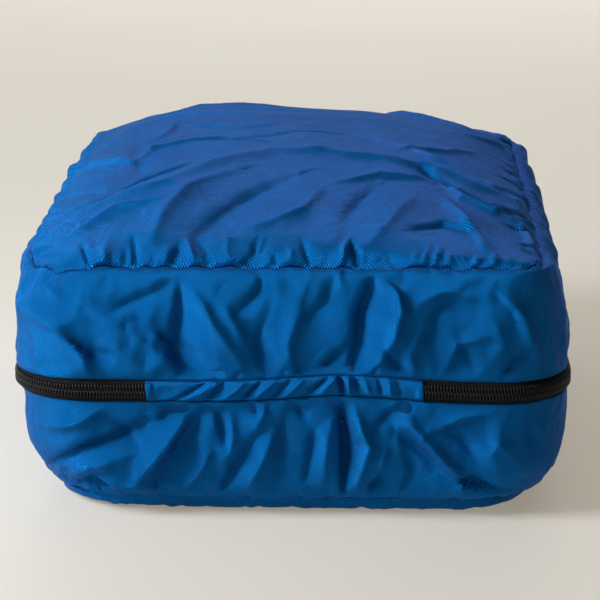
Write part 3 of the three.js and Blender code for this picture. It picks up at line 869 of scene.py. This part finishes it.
def gusset_piece(bag, name, up):
    """Half of the band, from its panel seam to the folded hem along the zip."""
    half = slice(bag.high, None) if up > 0 else slice(bag.low, None, -1)
    rows, out = bag.band[half], bag.out[half]
    into = bag.into_top if up > 0 else bag.into_bottom
    places = with_edge_rows(len(rows) - 1, low=False)
    fine, fine_out = resample(rows, places), unit(resample(out, places))
    from_seam = (len(rows) - 1 - places) * bag.cell
    fine = fine + into[None] * (SEAM_GROOVE * np.exp(-from_seam / SEAM_WIDTH))[:, None, None]
    towards_zip = unit(fine[0] - fine[2])
    edge, edge_out = fine[0], fine_out[0]
    back = HEM_WIDTH / bag.cell
    hem = np.stack(
        [
            resample(fine, [back])[0] - resample(fine_out, [back])[0] * HEM_FOLD,
            edge - edge_out * HEM_FOLD,
            edge - edge_out * HEM_FOLD / 2 + towards_zip * 0.4,
        ]
    )
    points = np.concatenate([hem, fine])
    lengths = np.concatenate([[-HEM_WIDTH - 1, -1, -0.4], places * bag.cell])
    uvs = uv_grid(np.arange(bag.columns) * bag.cell, lengths)
    faces = grid_faces(len(points), bag.columns, around=True, flip=up < 0)
    return thicken(mesh_object(name, points, faces, uvs, bag.around), CLOTH)


def run_columns(bag):
    """Columns along the zip, from the right end of the hinge strip, round the back, to its left end."""
    first, last = bag.front_column(STRIP_HALF), bag.columns + bag.front_column(-STRIP_HALF)
    return np.concatenate([[first], np.arange(math.ceil(first + 0.1), math.floor(last - 0.1) + 1), [last]])


def zip_run(bag, columns):
    """The zip's frame at those columns, and the distance along it."""
    fields = [np.concatenate([f, f, f[:1]]) for f in bag.zip_line()]
    centre, along, out, up = (resample(f, columns) for f in fields)
    along, out, up = unit(along), unit(out), unit(up)
    return centre, along, out, up, distances(centre)


def tape_piece(bag, name, side):
    """A zip tape, from the coil out to the gusset's hem and on behind it to its raw edge."""
    columns = run_columns(bag)
    centre, _, out, up, distance = zip_run(bag, columns)
    rows = [centre + up * (side * b) + out * n for b, n in TAPE_SHOWN]
    hem = bag.high if side > 0 else bag.low
    band, band_out = np.concatenate([bag.band] * 2, axis=1), np.concatenate([bag.out] * 2, axis=1)
    for beyond, depth in TAPE_HIDDEN:
        place = [hem + side * beyond / bag.cell]
        behind_hem = unit(resample_both(band_out, place, columns)[0]) * depth
        rows.append(resample_both(band, place, columns)[0] - behind_hem)
    across = [b for b, _ in TAPE_SHOWN] + [ZIP_SHOWN / 2 + b for b, _ in TAPE_HIDDEN]
    uvs = uv_grid(distance, [side * b for b in across])
    faces = grid_faces(len(rows), len(centre), flip=side < 0)
    return thicken(mesh_object(name, np.array(rows), faces, uvs), TAPE_THICK)


def coil_piece(bag, name, side):
    """One side of the coil: a loop of wire at every pitch, each head between two heads of the other side."""
    centre, along, out, up, distance = zip_run(bag, run_columns(bag))
    count = int(distance[-1] / COIL_PITCH) - 1
    at = (np.arange(count) + (0.75 if side > 0 else 0.25)) * COIL_PITCH
    index = np.interp(at, distance, np.arange(len(distance)))
    centre, along, out, up = (resample(f, index)[:, None] for f in (centre, along, out, up))
    loop = np.array(COIL_LOOP)
    lean = np.linspace(-COIL_LEAN, COIL_LEAN, len(loop))
    thick = COIL_WIRE * np.array(COIL_SWELL)
    tangent = unit(np.gradient(loop, axis=0))
    normal = np.stack([-tangent[:, 1], tangent[:, 0]], -1)
    rings = []
    for k in range(WIRE_SIDES):
        angle = 2 * math.pi * k / WIRE_SIDES
        across = loop + normal * (thick * math.cos(angle))[:, None]
        sideways = lean + thick * math.sin(angle)
        rings.append(
            centre
            + up * (side * across[None, :, :1])
            + out * across[None, :, 1:]
            + along * sideways[None, :, None]
        )
    points = np.stack(rings, 2)
    quads = grid_faces(len(loop), WIRE_SIDES, around=True, flip=side > 0)
    per = len(loop) * WIRE_SIDES
    faces = (quads[None] + (np.arange(count) * per)[:, None, None]).reshape(-1, 4)
    return mesh_object(name, points, faces)


# Tucks in the hinge strip: (x at its lower edge, x at its upper edge, height, width). The deepest and the one
# after it are the pleat.
STRIP_TUCKS = [
    (-56, -34, -1.9, 1.7), (-51, -28, 1.5, 2.4), (-39, -27, -1.6, 1.4), (-31, -17, 1.2, 2.0),
    (-22, -9, -1.7, 1.5), (-16, -3, 1.3, 1.9), (-8, 5, -1.7, 1.4), (-2, 11, 1.4, 2.0),
    (8, 23, -1.9, 1.6), (15, 26, 1.6, 2.2), (28, 26, -3.0, 1.4), (31.5, 30, 2.0, 1.8),
    (36, 33, -1.3, 1.2), (42, 37, 1.0, 1.6), (47, 44, -1.0, 1.2), (52, 49, 0.9, 1.4), (56, 53, -0.9, 1.2),
]


def strip_grid(bag):
    """The hinge strip's cloth, gathered between the two hems, with a pleat right of its middle."""
    reach = STRIP_HALF + STRIP_OVERLAP
    columns = np.linspace(bag.front_column(-reach), bag.front_column(reach), STRIP_COLUMNS)
    rows = np.linspace(bag.low - 0.75 * bag.scale, bag.high + 0.75 * bag.scale, STRIP_ROWS)
    grid = resample_both(bag.band, rows, columns)
    out = unit(resample_both(bag.out, rows, columns))
    x = grid[..., 0]
    edges = resample_both(bag.band, [bag.low, bag.high], columns)[..., 2]
    half = (edges[1] - edges[0]) / 2
    across = (grid[..., 2] - (edges[1] + edges[0]) / 2) / half
    flat = np.stack([x, across * (ZIP_HIGH - ZIP_LOW) / 2], -1)
    belly = np.clip(1 - across**2, 0, 1) ** 0.5
    height = np.zeros_like(x)
    for low_x, high_x, tuck, width in STRIP_TUCKS:
        line = [(low_x, ZIP_LOW - ZIP_Z - 0.5), (high_x, ZIP_HIGH - ZIP_Z + 0.5)]
        height += TUCK_DEPTH * tuck * stroke(flat, line, TUCK_WIDTH * width, tuck > 0)
    height += 0.35 * crumple(grid, (9, 9, 5), 51)
    height = (height + 1.0) * belly + 0.4
    ends = smooth(STRIP_HALF - 1.5, STRIP_HALF + 1, np.abs(x))
    height = height * (1 - ends) + 2.6 * ends * belly
    height -= STRIP_TURN_UNDER * smooth(0.72, 0.98, np.abs(across))
    return grid + out * height[..., None], np.stack([x, grid[..., 2]], -1)


def behind(ring, out, reach):
    """A smoother ring that stays on the inner side of another one."""
    even = spread(ring, 2 * reach)
    inwards = np.maximum(0, np.sum((even - ring) * out, axis=1))
    deepest = np.max([np.roll(inwards, k) for k in range(-reach, reach + 1)], axis=0)
    return even - out * spread(deepest[:, None], reach)


def inner_band(bag, name, from_seam, depth, at_top, at_zip=False):
    """A binding tape round the inside of the band, between two distances from its seam."""
    rows, out = bag.band, bag.out
    step = 1 if at_top == at_zip else -1
    if at_zip:
        base = bag.high if at_top else bag.low
    else:
        base = len(rows) - 1 if at_top else 0
    places = [base + step * d / bag.cell for d in np.linspace(*from_seam, BINDING_ROWS)]
    grid, normal = resample(rows, places), unit(resample(out, places))
    grid = np.array([behind(row, n, 2 * bag.scale) for row, n in zip(grid, normal)])
    along = np.arange(bag.columns) * bag.cell
    ripple = 0.25 * np.sin(along / 4.1) * np.sin(along / 17)
    points = grid - normal * (depth + ripple)[None, :, None]
    uvs = uv_grid(along, np.linspace(*from_seam, BINDING_ROWS))
    faces = grid_faces(len(places), bag.columns, around=True, flip=step < 0)
    piece = mesh_object(name, points, faces, uvs, bag.around)
    middle = BINDING_ROWS // 2
    return thicken(piece, BINDING_THICK), points[middle], normal[middle]


def stitch_row(name, ring, out):
    """A row of lock stitches laid along a closed ring, on the inner face of a binding."""
    inner = ring - out * STITCH_DEPTH
    closed = np.concatenate([inner, inner[:1]])
    distance = distances(closed)
    count = int(distance[-1] / (STITCH_LENGTH + STITCH_GAP))
    points, faces = [], []
    for k in range(count):
        rings = []
        for place, swell_by in STITCH_PROFILE:
            s = (k + 0.5 + place * STITCH_LENGTH / (STITCH_LENGTH + STITCH_GAP)) * distance[-1] / count
            at = np.interp(s, distance, np.arange(len(distance)))
            centre = resample(closed, [at])[0]
            normal = out[int(at) % len(out)]
            sink = 0.25 if swell_by < 0.5 else 0
            for angle in (0, 90, 180, 270):
                a = math.radians(angle)
                offset = np.array([0, 0, math.cos(a)]) - normal * math.sin(a)
                rings.append(centre + offset * STITCH_THREAD * swell_by + normal * sink)
        start = len(points)
        points.extend(rings)
        faces.extend(grid_faces(len(STITCH_PROFILE), 4, around=True, start=start).tolist())
    return mesh_object(name, np.array(points), faces)


def end_stitches(bag, name, sign):
    """The zigzag that sews the end of the zip under the hinge strip, on the inside."""
    column = bag.front_column(sign * STRIP_HALF)
    centre, along, out, up = (resample(np.concatenate([f, f[:1]]), [column])[0] for f in bag.zip_line())
    path = []
    for k in range(ZIGZAG_TURNS + 1):
        height = ZIGZAG_HEIGHT * (k / ZIGZAG_TURNS - 0.5)
        sideways = ZIGZAG_HALF_WIDTH * (1 if k % 2 else -1)
        path.append(centre + up * height + along * sideways - out * ZIGZAG_DEPTH)
    return tube(name, np.array(path), ZIGZAG_THREAD, 6)


def tube(name, path, radius, sides):
    """A round thread along a path of points."""
    tangent = unit(np.gradient(path, axis=0))
    side = unit(np.cross(tangent, [0.03, 1, 0.02]))
    other = np.cross(tangent, side)
    angles = (2 * math.pi * np.arange(sides) / sides)[:, None]
    rings = side[:, None] * np.cos(angles) + other[:, None] * np.sin(angles)
    return mesh_object(name, path[:, None] + radius * rings, grid_faces(len(path), sides, around=True))


# ---- Materials ----

class Nodes:
    """A node tree, and short ways to add to it."""

    def __init__(self, tree):
        self.tree = tree

    def node(self, kind, inputs=(), **settings):
        made = self.tree.nodes.new(kind)
        for key, value in settings.items():
            setattr(made, key, value)
        for socket, value in dict(inputs).items():
            target = made.inputs[socket]
            if isinstance(value, bpy.types.NodeSocket):
                self.tree.links.new(value, target)
            else:
                target.default_value = value
        return made

    def math(self, operation, a, b=0.0):
        return self.node("ShaderNodeMath", {0: a, 1: b}, operation=operation).outputs[0]

    def vector(self, operation, a, b):
        return self.node("ShaderNodeVectorMath", {0: a, 1: b}, operation=operation).outputs[0]

    def uv(self):
        return self.node("ShaderNodeUVMap", uv_map="cloth").outputs[0]

    def place(self):
        return self.node("ShaderNodeTexCoord").outputs["Object"]

    def noise(self, vector, scale, detail=2.0, roughness=0.5, distortion=0.0):
        inputs = {"Vector": vector, "Scale": scale, "Detail": detail}
        inputs |= {"Roughness": roughness, "Distortion": distortion}
        return self.node("ShaderNodeTexNoise", inputs).outputs["Fac"]

    def ramp(self, value, low, high, start=0.0, end=1.0):
        inputs = {"Value": value, "From Min": low, "From Max": high, "To Min": start, "To Max": end}
        return self.node("ShaderNodeMapRange", inputs).outputs["Result"]

    def mix(self, factor, a, b):
        a, b = (c if isinstance(c, bpy.types.NodeSocket) else (*c, 1) for c in (a, b))
        return self.node("ShaderNodeMix", {0: factor, 6: a, 7: b}, data_type="RGBA").outputs[2]

    def xyz(self, vector):
        return self.node("ShaderNodeSeparateXYZ", {0: vector}).outputs

    def bump(self, height, distance, strength=1.0, below=None):
        inputs = {"Height": height, "Distance": distance, "Strength": strength}
        if below is not None:
            inputs["Normal"] = below
        return self.node("ShaderNodeBump", inputs).outputs[0]

    def warped(self, place):
        """Object places pushed about by noise, so that a cell pattern loses its straight edges."""
        wander = self.node("ShaderNodeTexNoise", {"Vector": place, "Scale": 40.0, "Detail": 2.0})
        offset = self.vector("MULTIPLY", wander.outputs["Color"], (0.012,) * 3)
        return self.vector("ADD", place, offset)


class Shader(Nodes):
    """One material's nodes, around its Principled BSDF."""

    def __init__(self, name, colour, roughness, **sockets):
        self.material = bpy.data.materials.new(name)
        self.material.use_nodes = True
        super().__init__(self.material.node_tree)
        self.surface = self.tree.nodes["Principled BSDF"]
        own = {"Base_Color": (*colour, 1), "Roughness": roughness, **sockets}
        for socket, value in own.items():
            self.surface.inputs[socket.replace("_", " ")].default_value = value

    def link(self, output, socket):
        self.tree.links.new(output, self.surface.inputs[socket])


YARN = 0.0007
# The cloth's blue in two tones that vary at random, and two darker copies of it: painted shade for where the
# yarns dip under.
NYLON_BRIGHT = (0.0050, 0.20, 0.60)
NYLON_BLUE = (0.0040, 0.165, 0.50)
NYLON_DEEP_SHADE = (0.0012, 0.056, 0.20)
NYLON_DARK_SHADE = (0.0008, 0.040, 0.15)


def nylon():
    """Coated plain-weave nylon: over-and-under yarns with painted shade where they dip, creases from
    handling, and a satin gloss.
    """
    s = Shader("coated_nylon", NYLON_BLUE, 0.36, Metallic=0.55, IOR=1.2, Specular_IOR_Level=0.3,
               Sheen_Weight=0.03, Sheen_Roughness=0.3, Specular_Tint=(0.03, 0.4, 1.0, 1))
    parts = s.xyz(s.uv())
    warp = s.math("SINE", s.math("MULTIPLY", parts[0], math.pi / YARN))
    weft = s.math("SINE", s.math("MULTIPLY", parts[1], math.pi / YARN))
    weave = s.math("MULTIPLY", warp, weft)
    place = s.place()
    cells = {"Vector": s.warped(place), "Scale": 70.0}
    crease = s.node("ShaderNodeTexVoronoi", cells, feature="DISTANCE_TO_EDGE")
    crinkle = s.ramp(crease.outputs["Distance"], 0.0, 0.12)
    ripple = s.noise(place, 120, 4, 0.62, 0.8)
    normal = s.bump(ripple, 0.0022, 0.6)
    normal = s.bump(crinkle, 0.0004, 0.4, normal)
    normal = s.bump(weave, 0.0002, 1.0, normal)
    s.link(normal, "Normal")
    cloud = s.ramp(s.noise(place, 14, 4, 0.6), 0.3, 0.7)
    raised = s.mix(cloud, NYLON_BLUE, NYLON_BRIGHT)
    sunk_painted_shade = s.mix(cloud, NYLON_DARK_SHADE, NYLON_DEEP_SHADE)
    # The weave picks the colour: painted shade in the dips between the yarns, the blue on their crowns.
    s.link(s.mix(s.ramp(weave, -0.6, 0.6), sunk_painted_shade, raised), "Base Color")
    s.link(s.ramp(s.noise(place, 38, 3, 0.6), 0.3, 0.7, 0.31, 0.43), "Roughness")
    return s.material


def ribbed_cloth(name, colour, pitch, roughness):
    """A woven tape with ribs across it, such as grosgrain or a zip's tape."""
    s = Shader(name, colour, roughness, Specular_IOR_Level=0.2)
    parts = s.xyz(s.uv())
    ribs = s.math("SINE", s.math("MULTIPLY", parts[0], 2 * math.pi / pitch))
    yarns = s.math("SINE", s.math("MULTIPLY", parts[1], 2 * math.pi / (pitch * 0.8)))
    height = s.math("ADD", ribs, s.math("MULTIPLY", yarns, 0.4))
    s.link(s.bump(height, 0.00012, 0.9), "Normal")
    # The rib crests are painted paler and the hollows darker: painted highlight and shade that follow the
    # ribs.
    painted_crest_highlight = tuple(1.8 * c + 0.002 for c in colour)
    s.link(s.mix(s.ramp(height, -1.2, 1.4), colour, painted_crest_highlight), "Base Color")
    s.link(s.ramp(s.noise(s.place(), 300, 2), 0.3, 0.7, roughness - 0.08, roughness + 0.08), "Roughness")
    return s.material


def coil_plastic():
    """Dyed nylon monofilament, a little shiny, with small differences from loop to loop."""
    s = Shader("coil_nylon", (0.006, 0.006, 0.0065), 0.42, Specular_IOR_Level=0.3)
    speckle = s.noise(s.place(), 900, 2)
    s.link(s.ramp(speckle, 0.3, 0.7, 0.3, 0.46), "Roughness")
    s.link(s.mix(speckle, (0.004, 0.004, 0.0045), (0.009, 0.009, 0.0095)), "Base Color")
    return s.material


def thread():
    """Twisted polyester sewing thread."""
    s = Shader("sewing_thread", (0.006, 0.055, 0.21), 0.6, Sheen_Weight=0.2)
    twist = s.node("ShaderNodeTexWave", {"Vector": s.place(), "Scale": 900.0, "Distortion": 1.0},
                   bands_direction="DIAGONAL")
    s.link(s.bump(twist.outputs["Fac"], 0.0001, 0.7), "Normal")
    # The colour follows the twist: painted shade in its grooves and painted highlight on its ridges.
    s.link(s.mix(twist.outputs["Fac"], (0.004, 0.035, 0.15), (0.009, 0.075, 0.27)), "Base Color")
    return s.material


def slider_paint():
    """Black paint over zinc, worn to grey in small chips and fine scratches."""
    s = Shader("black_painted_zinc", (0.012, 0.012, 0.013), 0.34, Coat_Weight=0.25, Coat_Roughness=0.2)
    place = s.place()
    chips = s.ramp(s.noise(place, 700, 5, 0.7), 0.66, 0.72)
    s.link(s.mix(chips, (0.012, 0.012, 0.013), (0.16, 0.155, 0.15)), "Base Color")
    s.link(s.math("MULTIPLY", chips, 0.8), "Metallic")
    grain = s.noise(place, 1600, 3)
    s.link(s.ramp(grain, 0.3, 0.7, 0.28, 0.44), "Roughness")
    s.link(s.bump(s.math("SUBTRACT", grain, chips), 0.00005, 0.6), "Normal")
    return s.material


def floor_paint():
    """Pale matte floor, with a little light of its own in place of what a real room throws back on it."""
    glow = {"Emission_Color": (1.0, 0.87, 0.67, 1), "Emission_Strength": 0.29}
    s = Shader("floor_paint", (0.42, 0.42, 0.41), 0.62, **glow)
    cloud = s.noise(s.place(), 3, 4)
    s.link(s.mix(s.ramp(cloud, 0.3, 0.7), (0.41, 0.41, 0.40), (0.43, 0.43, 0.42)), "Base Color")
    return s.material


# ---- Floor, light and camera ----

def make_floor():
    """A wide plain floor."""
    reach = 6 / METRES
    corners = [(-reach, -reach, 0), (reach, -reach, 0), (-reach, reach, 0), (reach, reach, 0)]
    floor = mesh_object("floor", corners, grid_faces(2, 2))
    floor.data.materials.append(floor_paint())


def add_light(name, place, target, size, power, colour):
    light = bpy.data.lights.new(name, "AREA")
    light.shape = "RECTANGLE"
    light.size, light.size_y = size
    light.energy = power
    light.color = colour
    lamp = bpy.data.objects.new(name, light)
    lamp.location = place
    aim = np.array(target) - np.array(place)
    lamp.rotation_euler = Vector(aim).to_track_quat("-Z", "Y").to_euler()
    bpy.context.scene.collection.objects.link(lamp)


ROOM_LEFT = (0.33, 0.33, 0.32)
ROOM_RIGHT = (0.09, 0.08, 0.065)


def make_room():
    """The light of the room around: bright towards the window on the left, dim and warm on the right."""
    world = bpy.data.worlds.new("room")
    world.use_nodes = True
    room = Nodes(world.node_tree)
    direction = room.xyz(room.node("ShaderNodeTexCoord").outputs["Generated"])
    colour = room.mix(room.ramp(direction[0], -0.9, 0.7), ROOM_LEFT, ROOM_RIGHT)
    room.tree.links.new(colour, room.tree.nodes["Background"].inputs["Color"])
    bpy.context.scene.world = world


def make_lights():
    """A window close on the left, and a softbox over the floor behind."""
    add_light("window", (-0.95, -0.46, 0.70), (0, 0, 0.06), (0.5, 0.5), 21, (0.95, 0.98, 1.0))
    add_light("softbox", (0.2, 2.3, 1.4), (0.2, 2.2, 0), (3.0, 1.2), 38, (1.0, 0.99, 0.96))
    bpy.context.scene.view_settings.view_transform = "Standard"


def make_camera():
    """A long lens a little right of the cube's middle, looking down at the hinge side."""
    data = bpy.data.cameras.new("camera")
    camera = bpy.data.objects.new("camera", data)
    bpy.context.scene.collection.objects.link(camera)
    data.lens = 152.8
    data.sensor_width = 36
    data.clip_end = 50
    camera.location = (0.043, -1.350, 0.400)
    camera.rotation_euler = (math.radians(90 - 14), 0, math.radians(1.75))
    bpy.context.scene.camera = camera


# ---- The cube ----

def dress(piece, material, slot, body, *nodes):
    """Gives a piece its material and its body, and hides the CAD nodes that it stands for. slot is not used.
    """
    piece.data.materials.append(material)
    if body:
        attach(piece, body)
    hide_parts(*nodes)
    return piece


def finish_metal(node, paint):
    """Paints a CAD node and eases its edges, which its mesh keeps sharp."""
    node.data.materials.clear()
    node.data.materials.append(paint)
    node.data.polygons.foreach_set("use_smooth", np.ones(len(node.data.polygons), bool))
    bevel = node.modifiers.new("eased edges", "BEVEL")
    bevel.width = EASED_EDGE * METRES
    bevel.segments = 2
    bevel.harden_normals = True


def build():
    bag = Bag(*simulate())
    blue = nylon()
    tape = ribbed_cloth("zip_tape_weave", (0.0025, 0.0025, 0.003), 0.0009, 0.85)
    binding = ribbed_cloth("grosgrain", (0.008, 0.009, 0.011), 0.0012, 0.75)
    coil = coil_plastic()
    cotton = thread()
    paint = slider_paint()

    top = panel_piece(bag, "top_panel_cloth", bag.top, bag.into_top, 1)
    bottom = panel_piece(bag, "bottom_panel_cloth", bag.bottom, bag.into_bottom, -1)
    dress(top, blue, "nylon", "lid", "top_panel")
    dress(bottom, blue, "nylon", "base", "bottom_panel")
    upper = dress(gusset_piece(bag, "upper_gusset_cloth", 1), blue, "nylon", "lid", "upper_gusset")
    lower = dress(gusset_piece(bag, "lower_gusset_cloth", -1), blue, "nylon", "base", "lower_gusset")

    for word, side, body in (("upper", 1, "lid"), ("lower", -1, "base")):
        dress(tape_piece(bag, f"{word}_tape", side), tape, "zip_tape", body, f"{word}_zip_tape")
        dress(coil_piece(bag, f"{word}_coil", side), coil, "zip_coil", body, f"{word}_zip_coil")
        edge, line, out = inner_band(
            bag, f"{word}_zip_tape_binding", ZIP_BINDING, ZIP_BINDING_DEPTH, side > 0, at_zip=True
        )
        dress(edge, binding, "binding_tape", body, f"{word}_zip_binding")
        dress(stitch_row(f"{word}_zip_stitches", line, out), cotton, "thread", body)

    for word, at_top, body in (("top", True, "lid"), ("bottom", False, "base")):
        edge, line, out = inner_band(bag, f"{word}_seam_tape", SEAM_BINDING, SEAM_BINDING_DEPTH, at_top)
        dress(edge, binding, "binding_tape", body, f"{word}_seam_binding")
        dress(stitch_row(f"{word}_seam_stitches", line, out), cotton, "thread", body, f"{word}_seam_thread")

    for word, sign in (("left", -1), ("right", 1)):
        stitches = end_stitches(bag, f"zip_end_zigzag_{word}", sign)
        dress(stitches, cotton, "thread", "base", f"zip_end_stitch_{word}")

    grid, uvs = strip_grid(bag)
    cloth = mesh_object("hinge_strip_cloth", grid.reshape(-1, 3), grid_faces(*grid.shape[:2]), uvs)
    strip = dress(thicken(cloth, CLOTH), blue, "nylon", None, "hinge_strip")
    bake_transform(strip)

    for name in ("zip_slider", "pull_link", "pull_tab"):
        for word in ("left", "right"):
            finish_metal(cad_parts[f"{name}_{word}"], paint)


build()
make_floor()
make_room()
make_lights()
make_camera()
